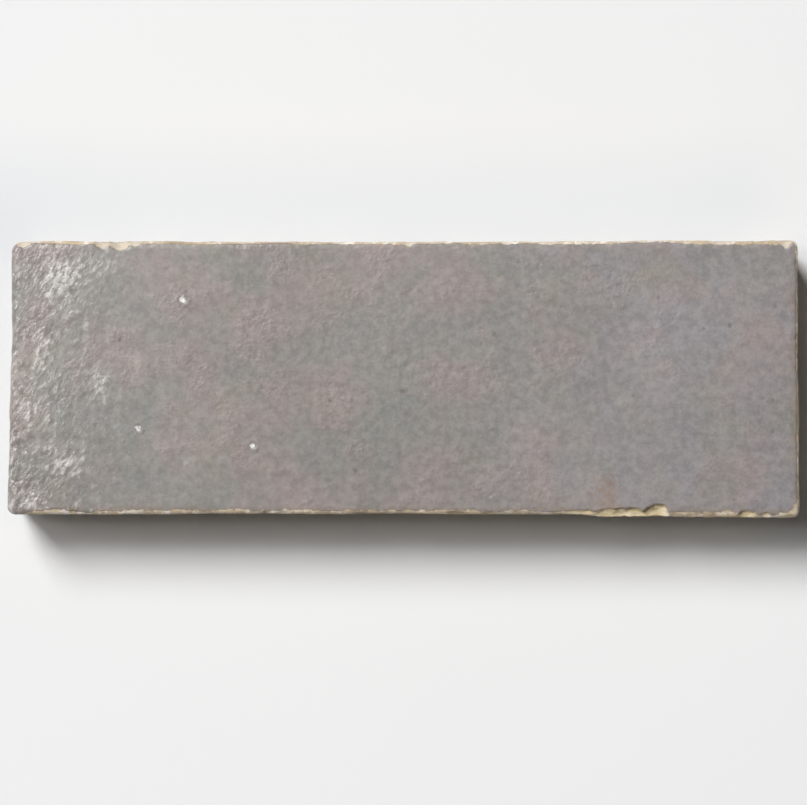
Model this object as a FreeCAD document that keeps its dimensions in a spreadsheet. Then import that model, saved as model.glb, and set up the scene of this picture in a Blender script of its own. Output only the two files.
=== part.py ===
import FreeCAD, Part

import math
import os
import re

import Sketcher
from FreeCAD import Placement, Rotation, Vector

# A handmade tile of fired clay, glazed on its face. It lies on its back, with the face up.
# The slab was cut by hand: its outline is a shade out of square, its long edges are a little
# hollow and its sides are cut back under the face, so that tiles lie tight face to face.
# The face is crowned both ways, its arris is rolled over, and the arris is chipped.
# Millimetres. The origin is the middle of the back, +X runs along the tile and +Z is the face.

SHEET = "sizes"
SPARE = 5.0  # how far a cutting profile runs past what it cuts
PICK = 0.05  # where a side is picked for its corner arc, as a share of the side

SIZES = {
    "length": (146.0, "front edge, corner to corner"),
    "width": (51.5, "right end, corner to corner"),
    "thickness": (18.0, "back to the top of the crown"),
    "rear_left_lean": (0.7, "how far the left end leans in at its rear corner"),
    "rear_right_lean": (0.3, "how far the right end leans in at its rear corner"),
    "left_narrowing": (0.5, "how much narrower the left end is than the right one"),
    "front_hollow": (0.35, "sagitta of the front edge, inwards"),
    "rear_hollow": (0.15, "sagitta of the rear edge, inwards"),
    "left_hollow": (0.15, "sagitta of the left end, inwards"),
    "right_hollow": (0.1, "sagitta of the right end, inwards"),
    "undercut": (1.3, "how far each side is cut back at the tile's back"),
    "crown_along": (0.8, "how much lower the face is at its ends"),
    "crown_across": (0.35, "how much lower the face is at its long edges"),
    "front_left_radius": (1.6, "corner rounding seen from above"),
    "front_right_radius": (1.3, "corner rounding seen from above"),
    "rear_right_radius": (1.5, "corner rounding seen from above"),
    "rear_left_radius": (2.2, "corner rounding seen from above"),
    "arris_radius": (0.9, "roll of the glazed arris"),
    "back_radius": (0.7, "worn edge of the back"),
}

# Chips in the arris. Each is a shell-shaped scoop: where it lies, as a share of the way from the
# tile's middle to its end, how far it reaches along the arris to each side of that, and how far it
# bites into the face.
CHIPS = {
    "front_long_chip": {"share": 0.529, "reach": 3.4, "bite": 2.0},
    "front_short_chip": {"share": 0.866, "reach": 1.8, "bite": 1.3},
    "rear_long_chip": {"share": -0.73, "reach": 2.9, "bite": 1.8},
    "rear_short_chip": {"share": 0.013, "reach": 1.4, "bite": 1.1},
    "rear_end_chip": {"share": 0.964, "reach": 1.4, "bite": 1.3},
}

SIDES = {  # each side's first and last corner, and which way it is hollow in x and in y
    "front": ("front_left", "front_right", 0, 1),
    "right": ("front_right", "rear_right", -1, 0),
    "rear": ("rear_right", "rear_left", 0, -1),
    "left": ("rear_left", "front_left", 1, 0),
}


def value(name):
    """A driving size as a number."""
    return SIZES[name][0]


def make_sheet(doc):
    """The spreadsheet that drives every size: a name, a number and what it measures."""
    sheet = doc.addObject("Spreadsheet::Sheet", SHEET)
    rows = list(SIZES.items())
    for chip, measures in CHIPS.items():
        rows += [(f"{chip}_{key}", (number, "scoop in the arris")) for key, number in measures.items()]
    for row, (name, (number, meaning)) in enumerate(rows, start=1):
        sheet.set(f"A{row}", name)
        sheet.set(f"B{row}", str(number))
        sheet.set(f"C{row}", meaning)
        sheet.setAlias(f"B{row}", name)
    doc.recompute()
    return sheet


def drive(item, target, expression):
    """Binds a property or a named constraint to an expression in the sheet's names."""
    names = {*SIZES, *(f"{chip}_{key}" for chip in CHIPS for key in CHIPS[chip])}
    item.setExpression(
        target,
        re.sub(r"[a-z_]+", lambda m: f"{SHEET}.{m[0]}" if m[0] in names else m[0], expression),
    )


def origin_plane(body, role):
    """One of the body's own origin planes."""
    return next(f for f in body.Origin.OriginFeatures if f.Role == role)


def new_sketch(body, name, role):
    """An empty sketch on one of the body's origin planes."""
    sketch = body.newObject("Sketcher::SketchObject", name)
    sketch.AttachmentSupport = [(origin_plane(body, role), "")]
    sketch.MapMode = "FlatFace"
    return sketch


def pin_point(sketch, geometry, end, name, across, up):
    """Fixes a point of the sketch at (across, up): each is a number and its expression."""
    for axis, (number, expression) in (("X", across), ("Y", up)):
        label = f"{name}_{axis.lower()}"
        index = sketch.addConstraint(
            Sketcher.Constraint(f"Distance{axis}", -1, 1, geometry, end, number)
        )
        sketch.renameConstraint(index, label)
        drive(sketch, f"Constraints.{label}", expression)


def corners(inset=0.0, inset_words="0"):
    """The corners of the outline before rounding, as (number, expression) pairs of x and y.

    The inset moves all four towards the middle of the tile."""
    x, y = value("length") / 2 - inset, value("width") / 2 - inset
    step = value("left_narrowing") / 2
    x_words, y_words = f"(length / 2 - {inset_words})", f"(width / 2 - {inset_words})"
    return {
        "front_left": ((-x, f"- {x_words}"), (step - y, f"left_narrowing / 2 - {y_words}")),
        "front_right": ((x, x_words), (-y, f"- {y_words}")),
        "rear_right": ((x - value("rear_right_lean"), f"{x_words} - rear_right_lean"), (y, y_words)),
        "rear_left": (
            (value("rear_left_lean") - x, f"rear_left_lean - {x_words}"),
            (y - step, f"{y_words} - left_narrowing / 2"),
        ),
    }


def hollow_arc(start, middle, end):
    """The arc from start to end as the sketcher keeps it: counter-clockwise, so from end to start."""
    centre = Part.Circle(start, middle, end).Center
    circle = Part.Circle(centre, Vector(0, 0, 1), centre.distanceToPoint(middle))
    first = math.atan2(end.y - centre.y, end.x - centre.x)
    last = math.atan2(start.y - centre.y, start.x - centre.x)
    return Part.ArcOfCircle(circle, first, last if last > first else last + 2 * math.pi)


def halfway(first, second, step, step_words):
    """The middle of two coordinates and a step from it, as a (number, expression) pair."""
    return (first[0] + second[0]) / 2 + step, f"({first[1]} + {second[1]}) / 2 {step_words}"


def side_middle(points, side):
    """The middle point of a hollow side, as (number, expression) pairs of x and y."""
    start, end, *inwards = SIDES[side]
    words = {0: "", 1: f"+ {side}_hollow", -1: f"- {side}_hollow"}
    return [
        halfway(a, b, way * value(f"{side}_hollow"), words[way])
        for a, b, way in zip(points[start], points[end], inwards)
    ]


def place(pairs):
    """The point that a pair of (number, expression) pairs stands for."""
    return Vector(pairs[0][0], pairs[1][0], 0)


def mark_on(sketch, name, pairs, curves):
    """A fixed construction point that each of the curves runs through."""
    mark = sketch.addGeometry(Part.Point(place(pairs)), True)
    for curve in curves:
        sketch.addConstraint(Sketcher.Constraint("PointOnObject", mark, 1, curve))
    pin_point(sketch, mark, 1, name, *pairs)


def round_corner(sketch, before, after, corner):
    """Joins two sides by a tangent corner arc; the side before starts where the other ends."""
    first, second = sketch.Geometry[before], sketch.Geometry[after]
    near_start = first.value(first.FirstParameter + PICK * (first.LastParameter - first.FirstParameter))
    near_end = second.value(second.LastParameter - PICK * (second.LastParameter - second.FirstParameter))
    sketch.fillet(before, after, near_start, near_end, value(f"{corner}_radius"), True, False)
    return len(sketch.Geometry) - 1


def outline(body, name, up, inset, inset_words):
    """The tile's outline at one height: four hollow sides joined by four corner arcs."""
    sketch = new_sketch(body, name, "XY_Plane")
    drive(sketch, "AttachmentOffset.Base.z", up)
    points = corners(inset, inset_words)
    middles = {side: side_middle(points, side) for side in SIDES}
    arcs = {}
    for side, (start, end, *_inwards) in SIDES.items():
        through = [place(p) for p in (points[start], middles[side], points[end])]
        arcs[side] = sketch.addGeometry(hollow_arc(*through), False)
    order = list(SIDES)
    joints = [(before, side, SIDES[side][0]) for before, side in zip(order[-1:] + order, order)]
    rounding = {corner: round_corner(sketch, arcs[a], arcs[b], corner) for a, b, corner in joints}
    for before, side, corner in joints:
        radius = f"{corner}_radius"
        index = sketch.addConstraint(Sketcher.Constraint("Radius", rounding[corner], value(radius)))
        sketch.renameConstraint(index, radius)
        drive(sketch, f"Constraints.{radius}", radius)
        mark_on(sketch, corner, points[corner], (arcs[before], arcs[side]))
        mark_on(sketch, f"{side}_middle", middles[side], (arcs[side],))
    return sketch


def slab(doc, body):
    """The slab: straight sides from the face outline down to the smaller outline of the back."""
    face = outline(body, "face_outline", "thickness", 0.0, "0")
    back = outline(body, "back_outline", "0", value("undercut"), "undercut")
    doc.recompute()
    loft = body.newObject("PartDesign::AdditiveLoft", "slab")
    loft.Profile = face
    loft.Sections = [(back, [""])]
    loft.Ruled = True
    doc.recompute()
    return loft


def crown(body):
    """Turns the flat top into a face crowned both ways: an arc turned about a far axis."""
    half, rise, top = value("width") / 2, value("crown_across"), value("thickness")
    radius = half * half / (2 * rise) + rise / 2
    radius_words = "( width * width / ( 8 * crown_across ) + crown_across / 2 )"
    turn_words = "( length * length / ( 8 * crown_along ) + crown_along / 2 )"
    turn = value("length") ** 2 / (8 * value("crown_along")) + value("crown_along") / 2
    side, lid = half + SPARE, top + SPARE
    foot = top - radius + math.sqrt(radius * radius - side * side)

    sketch = new_sketch(body, "crown_profile", "YZ_Plane")
    centre = Vector(0, top - radius, 0)
    start, end = math.atan2(foot - centre.y, side), math.atan2(foot - centre.y, -side)
    arc = sketch.addGeometry(Part.ArcOfCircle(Part.Circle(centre, Vector(0, 0, 1), radius), start, end))
    corners_up = [(side, foot), (side, lid), (-side, lid), (-side, foot)]
    lines = [
        sketch.addGeometry(Part.LineSegment(Vector(*a, 0), Vector(*b, 0)))
        for a, b in zip(corners_up, corners_up[1:])
    ]
    axle = sketch.addGeometry(
        Part.LineSegment(Vector(-side, top - turn, 0), Vector(side, top - turn, 0)), True
    )
    for first, first_end, second, second_end in (
        (arc, 1, lines[0], 1),
        (lines[0], 2, lines[1], 1),
        (lines[1], 2, lines[2], 1),
        (lines[2], 2, arc, 2),
    ):
        sketch.addConstraint(Sketcher.Constraint("Coincident", first, first_end, second, second_end))
    for line, kind in ((lines[0], "Vertical"), (lines[1], "Horizontal"), (lines[2], "Vertical")):
        sketch.addConstraint(Sketcher.Constraint(kind, line))
    side_words = f"width / 2 + {SPARE}"
    lid_words = f"thickness + {SPARE}"
    pin_point(sketch, arc, 3, "centre", (0, "0"), (top - radius, f"thickness - {radius_words}"))
    pin_point(sketch, lines[0], 2, "lid_right", (side, side_words), (lid, lid_words))
    index = sketch.addConstraint(Sketcher.Constraint("DistanceX", -1, 1, lines[2], 1, -side))
    sketch.renameConstraint(index, "lid_left")
    drive(sketch, "Constraints.lid_left", f"- ( {side_words} )")
    index = sketch.addConstraint(Sketcher.Constraint("Radius", arc, radius))
    sketch.renameConstraint(index, "across")
    drive(sketch, "Constraints.across", radius_words)
    axle_up = (top - turn, f"thickness - {turn_words}")
    pin_point(sketch, axle, 1, "axle_left", (-side, f"- ( {side_words} )"), axle_up)
    pin_point(sketch, axle, 2, "axle_right", (side, side_words), axle_up)

    groove = body.newObject("PartDesign::Groove", "crown")
    groove.Profile = sketch
    groove.ReferenceAxis = (sketch, ["Axis0"])
    groove.Midplane = True
    drive(groove, "Angle", f"2 * asin( ( length / 2 + {SPARE} ) / {turn_words} )")
    return groove


def edges_at(shape, wanted):
    """The names of the edges whose middle passes the test."""
    names = []
    for number, edge in enumerate(shape.Edges, start=1):
        middle = edge.valueAt((edge.FirstParameter + edge.LastParameter) / 2)
        if wanted(middle, edge):
            names.append(f"Edge{number}")
    return names


def rounded(body, base, name, edges, radius):
    """A fillet of the base's edges."""
    fillet = body.newObject("PartDesign::Fillet", name)
    fillet.Base = (base, edges)
    drive(fillet, "Radius", radius)
    return fillet


def is_upright(edge):
    """True if the edge climbs more than it runs along."""
    low, high = edge.Vertexes[0].Point, edge.Vertexes[-1].Point
    return abs(high.z - low.z) > math.hypot(high.x - low.x, high.y - low.y)


def round_rims(doc, body, base):
    """Rolls the glazed arris over, and wears the edge of the back."""
    back = edges_at(base.Shape, lambda middle, edge: middle.z < 1e-6)
    base = rounded(body, base, "back_edge", back, "back_radius")
    doc.recompute()
    low = value("thickness") - 2 * (value("crown_along") + value("crown_across"))
    arris = edges_at(base.Shape, lambda middle, edge: middle.z > low and not is_upright(edge))
    base = rounded(body, base, "arris", arris, "arris_radius")
    doc.recompute()
    return base


def chip_place(chip):
    """Where a scoop's centre lies, as expressions of x, y and z, and its radius as one more.

    The scoop is a ball. Its centre is set back from the sharp arris, outwards and upwards alike, so
    that the ball meets the arris at the reach to each side and the face at the bite."""
    side, out, inwards = ("front", "-", "+") if chip.startswith("front") else ("rear", "+", "-")
    share, reach, bite = (f"{chip}_{key}" for key in ("share", "reach", "bite"))
    flat = f"(1 - {share} * {share})"
    narrowing = f"left_narrowing * (1 - {share}) / 4"
    set_back = f"({reach} * {reach} - {bite} * {bite}) / (2 * {bite})"
    across = f"0 {out} (width / 2 + {set_back}) {inwards} {narrowing} {inwards} {side}_hollow * {flat}"
    up = f"thickness - crown_across - crown_along * {share} * {share} + {set_back}"
    radius = f"sqrt({reach} * {reach} + 2 * ({set_back}) * ({set_back}))"
    return (f"{share} * length / 2", across, up), radius


def chip_arris(body, chip):
    """Takes one shell-shaped scoop out of the arris."""
    scoop = body.newObject("PartDesign::SubtractiveSphere", chip)
    scoop.AttachmentSupport = [(origin_plane(body, "XY_Plane"), "")]
    scoop.MapMode = "FlatFace"
    seam_turn = -90 if chip.startswith("front") else 90  # the ball's seam faces away from the tile
    scoop.AttachmentOffset = Placement(Vector(), Rotation(Vector(0, 0, 1), seam_turn))
    middle, radius = chip_place(chip)
    for axis, expression in zip("xyz", middle):
        drive(scoop, f"AttachmentOffset.Base.{axis}", expression)
    drive(scoop, "Radius", radius)
    return scoop


def make_tile(doc):
    """The whole tile as one body."""
    body = doc.addObject("PartDesign::Body", "tile")
    body.Label = "tile"
    slab(doc, body)
    base = crown(body)
    doc.recompute()
    base = round_rims(doc, body, base)
    for chip in CHIPS:
        before = body.Shape.Volume
        chip_arris(body, chip)
        doc.recompute()
        if body.Shape.Volume >= before:
            raise RuntimeError(f"{chip} takes nothing off the arris")
    return body


def check(doc, parts):
    """Stops if any object failed or a part isn't one valid solid."""
    failed = [o.Name for o in doc.Objects if "Invalid" in o.State or "Error" in o.State]
    if failed:
        raise RuntimeError(f"these objects failed: {failed}")
    for part in parts:
        shape = part.Shape
        if shape.isNull() or not shape.isValid() or len(shape.Solids) != 1:
            raise RuntimeError(f"{part.Label} isn't one valid solid")


def main():
    """Builds the document and writes one STEP file for each piece."""
    doc = FreeCAD.newDocument("glazed_tile")
    make_sheet(doc)
    parts = [make_tile(doc)]
    doc.recompute()
    check(doc, parts)
    os.makedirs("parts", exist_ok=True)
    for part in parts:
        part.Shape.exportStep(os.path.join("parts", f"{part.Label}.step"))
        box = part.Shape.BoundBox
        print(part.Label, round(part.Shape.Volume, 1), "mm3, box", box)


main()
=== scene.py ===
"""A handmade clay tile with a satin grey glaze, lying on its back and seen from straight above.

Sizes inside the classes are millimetres, apart from the lamps' and the floor's; a mesh is turned to
metres as it is written. +X runs along the tile, -Y is its front edge and +Z is the glazed face.
"""
import logging
import math
from dataclasses import dataclass, field
from enum import Enum
from functools import reduce

import bpy
import numpy as np
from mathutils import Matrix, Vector


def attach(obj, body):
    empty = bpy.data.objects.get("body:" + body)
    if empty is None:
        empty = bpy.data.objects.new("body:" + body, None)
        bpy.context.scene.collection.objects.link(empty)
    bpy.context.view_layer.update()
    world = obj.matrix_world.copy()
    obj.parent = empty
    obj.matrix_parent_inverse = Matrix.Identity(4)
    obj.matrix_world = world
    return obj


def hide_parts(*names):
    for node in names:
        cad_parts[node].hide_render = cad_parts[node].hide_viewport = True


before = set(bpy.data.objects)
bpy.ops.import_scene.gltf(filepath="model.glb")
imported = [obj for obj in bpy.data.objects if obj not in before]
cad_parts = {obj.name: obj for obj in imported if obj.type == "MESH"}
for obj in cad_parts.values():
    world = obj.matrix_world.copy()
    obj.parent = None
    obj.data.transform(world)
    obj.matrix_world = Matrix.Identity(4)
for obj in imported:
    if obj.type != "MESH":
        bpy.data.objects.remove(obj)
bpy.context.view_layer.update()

LOG = logging.getLogger("tile")
MM = 0.001
Array = np.ndarray
Triple = tuple[float, float, float]
Colour = Triple
Socket = bpy.types.NodeSocket
LATTICE_PRIMES = np.array([73856093, 19349663, 83492791])
SEED_PRIME = 2654435761
STIR_PRIME = 1274126177


def srgb(red: int, green: int, blue: int) -> Colour:
    """A display colour in 0..255 as the linear colour that a shader takes."""
    shares = (red / 255, green / 255, blue / 255)
    return tuple(((v + 0.055) / 1.055) ** 2.4 if v > 0.04 else v / 12.92 for v in shares)


def smooth(low: float | Array, high: float | Array, value: Array) -> Array:
    """Smooth step from 0 to 1: 3t^2 - 2t^3, with t the value's share of the way from low to high."""
    t = np.clip((value - low) / (high - low), 0.0, 1.0)
    return t * t * (3.0 - 2.0 * t)


def bell(value: Array, middle: float | Array, spread: float | Array) -> Array:
    """A bell round the middle: exp(-((value - middle) / spread)^2)."""
    return np.exp(-(((value - middle) / spread) ** 2))


class Side(Enum):
    """The four sides of the tile, counter-clockwise from above."""

    FRONT = 0
    RIGHT = 1
    REAR = 2
    LEFT = 3


@dataclass(frozen=True)
class Grain:
    """Smooth gradient noise in space: random slopes on a unit lattice, blended by quintic weights."""

    seed: int
    shift: float = 0.37  # keeps the lattice off round coordinates
    gain: float = 1.7  # brings the blend to about -1 to 1

    def _slope_product(self, cell: Array, offset: Array) -> Array:
        """Dot product of each lattice point's random slope with the way to it.

        Args:
            cell: integer lattice points, shape (n, 3).
            offset: position of the sample as seen from the lattice point, shape (n, 3).

        Returns:
            One number for each row.
        """
        key = np.bitwise_xor.reduce(cell * LATTICE_PRIMES, axis=1) ^ self.seed * SEED_PRIME
        key = (key ^ (key >> 13)) * STIR_PRIME & 0x7FFFFFFF
        turn = (key & 0xFFFF) / 65536.0 * 2 * math.pi
        rise = ((key >> 15) & 0xFFFF) / 65536.0 * 2.0 - 1.0
        flat = np.sqrt(1.0 - rise * rise)
        level = offset[:, 0] * flat * np.cos(turn) + offset[:, 1] * flat * np.sin(turn)
        return level + offset[:, 2] * rise

    def at(self, points: Array, size: float | Triple) -> Array:
        """The noise at some points.

        Args:
            points: positions in millimetres, shape (..., 3).
            size: lattice spacing in millimetres, one number or one for each axis.

        Returns:
            Numbers of about -1 to 1, in the shape of the points without the last axis.
        """
        flat = points.reshape(-1, 3) / np.asarray(size, dtype=float) + self.shift
        cell = np.floor(flat).astype(np.int64)
        part = flat - cell
        weight = part**3 * (part * (part * 6.0 - 15.0) + 10.0)
        total = np.zeros(len(flat))
        for corner in np.ndindex(2, 2, 2):
            step = np.array(corner)
            share = np.prod(np.where(step == 1, weight, 1.0 - weight), axis=1)
            total += share * self._slope_product(cell + step, part - step)
        return (total * self.gain).reshape(points.shape[:-1])


@dataclass(frozen=True)
class Layer:
    """One layer of a relief or of a mask: its height times noise of its patch size in millimetres.

    With a threshold, only what the noise has above it counts, which makes scattered dents.
    """

    seed: int
    size: float | Triple
    height: float
    above: float | None = None

    def at(self, points: Array) -> Array:
        """The layer's height at some points."""
        noise = Grain(self.seed).at(points, self.size)
        return self.height * (noise if self.above is None else np.maximum(noise - self.above, 0.0))


@dataclass(frozen=True)
class Band:
    """A soft band on the tile: its strength, its middle and its spread, both in millimetres."""

    strength: float
    middle: float
    spread: float

    def at(self, value: Array) -> Array:
        """The band at some places: a bell round its middle, times its strength."""
        return self.strength * bell(value, self.middle, self.spread)


def added(layers: tuple[Layer, ...], points: Array) -> Array:
    """The sum of some layers at some points."""
    return sum(layer.at(points) for layer in layers)


@dataclass(frozen=True)
class Scoop:
    """A shell-shaped piece broken out of the arris: the inside of an ellipsoid centred on the edge.

    It has its side, its place along it, its radii along, across and down, and its skew in degrees.
    """

    side: Side
    along: float
    reach: float
    bite: float
    drop: float
    skew: float = 0.0

    def carve(self, points: Array, edge: "Outline", top: Array, grain: Grain) -> Array:
        """Pushes the points that lie inside the ellipsoid on to its far wall.

        Each point P inside goes to P + t g, where g leads down and into the tile and t is the
        positive root of |(P + t g - centre) / radii| = 1, the radii swelling and shrinking by noise.

        Args:
            points: positions in millimetres, shape (n, 3). They are moved in place.
            edge: the tile's outline.
            top: height of the face above each point, shape (n,).
            grain: noise that makes the rim ragged.

        Returns:
            How far each point moved, in millimetres, shape (n,).
        """
        inward = 1.0 if self.side is Side.FRONT else -1.0
        rim = edge.long_edge(np.array([self.along]), self.side)[0]
        centre = np.array([self.along, rim, 0.0])
        # only points round the chip can lie inside it
        near = np.abs(points[:, 0] - self.along) < self.reach * 1.6
        near &= np.abs(points[:, 1] - rim) < self.bite * 1.8 + 1.0
        near &= points[:, 2] > 8.0
        index = np.flatnonzero(near)
        place = points[index] - centre
        place[:, 2] -= top[index]
        cos, sin = math.cos(math.radians(self.skew)), math.sin(math.radians(self.skew))
        spin = np.array([[cos, sin, 0], [-sin, cos, 0], [0, 0, 1]])
        # the radii swell and shrink in waves of two sizes, in millimetres
        ragged = 1.0 + 0.16 * grain.at(points[index], 1.3) + 0.1 * grain.at(points[index], 0.6)
        radii = np.array([self.reach, self.bite, self.drop]) * ragged[:, None]
        start = place @ spin.T / radii
        way = np.array([0.0, inward, -1.0]) / math.sqrt(2.0)
        step = (spin @ way) / radii
        a, b, c = (step**2).sum(1), (start * step).sum(1), (start**2).sum(1) - 1.0
        root = np.sqrt(np.maximum(b * b - a * c, 0.0))
        move = np.where(c < 0.0, (root - b) / a, 0.0)
        points[index] += move[:, None] * way
        moved = np.zeros(len(points))
        moved[index] = move
        return moved


@dataclass
class Outline:
    """The hand-cut outline of the face, seen from above."""

    half_length: float = 72.92
    half_width: float = 25.66
    radii: tuple[float, float, float, float] = (1.6, 1.3, 1.5, 2.2)  # front left, on counter-clockwise
    rear_left_lean: float = 0.75
    rear_right_lean: float = 0.3
    least_radius: float = 0.15
    narrowing: float = 0.25
    front_hollow: float = 0.28
    rear_hollow: float = 0.12
    end_hollow: float = 0.12
    front_step: float = 0.32
    step_at: float = 34.5
    step_run: float = 2.5
    wave: float = 0.11
    long_waves: tuple[float, float] = (21.0, 7.0)
    end_waves: tuple[float, float] = (15.0, 5.0)
    grain: Grain = field(default_factory=lambda: Grain(41))

    def long_edge(self, x: Array, side: Side) -> Array:
        """The y of the front or rear edge at some x.

        The edge is a parabola hollow by the sagitta, set in by the narrowing towards the left end,
        plus a slow wave; the front edge also steps in to the left of one place.

        Args:
            x: places along the tile.
            side: FRONT or REAR.

        Returns:
            The y of the edge at each x.
        """
        share = np.clip(x / self.half_length, -1.0, 1.0)
        # each edge reads a stretch of the noise of its own
        line = np.stack([x, np.full_like(x, 40.0 * side.value), np.zeros_like(x)], axis=-1)
        slow, quick = (self.grain.at(line, size) for size in self.long_waves)
        wave = self.wave * (slow + 0.6 * quick - 0.6)
        narrow = self.narrowing * (1.0 - share) / 2.0
        if side is Side.FRONT:
            start, stop = self.step_at - self.step_run, self.step_at + self.step_run
            step = self.front_step * (1.0 - smooth(start, stop, x))
            return -self.half_width + narrow + self.front_hollow * (1.0 - share**2) + step - wave
        return self.half_width - narrow - self.rear_hollow * (1.0 - share**2) + wave

    def short_edge(self, y: Array, side: Side) -> Array:
        """The x of the left or right end at some y: a leaning, hollow line with a slow wave.

        Args:
            y: places across the tile.
            side: LEFT or RIGHT.

        Returns:
            The x of the end at each y.
        """
        share = np.clip(y / self.half_width, -1.0, 1.0)
        # each end reads a stretch of the noise of its own
        line = np.stack([np.full_like(y, 90.0 * side.value), y, np.zeros_like(y)], axis=-1)
        slow, quick = (self.grain.at(line, size) for size in self.end_waves)
        wave = self.wave * (slow + 0.9 * quick - 0.9)
        hollow = self.end_hollow * (1.0 - share**2)
        if side is Side.LEFT:
            return -self.half_length + self.rear_left_lean * (1.0 + share) / 2.0 + hollow - 1.4 * wave
        return self.half_length - self.rear_right_lean * (1.0 + share) / 2.0 - hollow + wave

    def place(self, u: Array, v: Array, inset: Array | float) -> tuple[Array, Array]:
        """Maps the square -1..1 on to the outline drawn in by an inset.

        A plain rectangle first; in the square of a corner arc the point (p, q) goes to
        (p sqrt(1 - q^2/2), q sqrt(1 - p^2/2)), which turns the square into a quarter disc; then
        the edges' own lines are blended across the rectangle.

        Args:
            u: place along the tile, -1 to 1.
            v: place across the tile, -1 to 1.
            inset: how far the outline is drawn in, in millimetres.

        Returns:
            The x and the y of each point.
        """
        u, v, inset = np.broadcast_arrays(u, v, inset)
        long_half, wide_half = self.half_length - inset, self.half_width - inset
        x, y = u * long_half, v * wide_half
        corner = np.where(v < 0, np.where(u < 0, 0, 1), np.where(u < 0, 3, 2))
        radius = np.maximum(np.asarray(self.radii)[corner] - inset, self.least_radius)
        p = np.clip((np.abs(x) - long_half + radius) / radius, 0.0, 1.0)
        q = np.clip((np.abs(y) - wide_half + radius) / radius, 0.0, 1.0)
        both = (p > 0) & (q > 0)
        x = np.where(both, np.sign(x) * (long_half - radius + radius * p * np.sqrt(1 - q * q / 2)), x)
        y = np.where(both, np.sign(y) * (wide_half - radius + radius * q * np.sqrt(1 - p * p / 2)), y)
        across, along = (y + wide_half) / (2 * wide_half), (x + long_half) / (2 * long_half)
        front = self.long_edge(x, Side.FRONT) + self.half_width
        rear = self.long_edge(x, Side.REAR) - self.half_width
        left = self.short_edge(y, Side.LEFT) + self.half_length
        right = self.short_edge(y, Side.RIGHT) - self.half_length
        return x + (1 - along) * left + along * right, y + (1 - across) * front + across * rear


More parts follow.
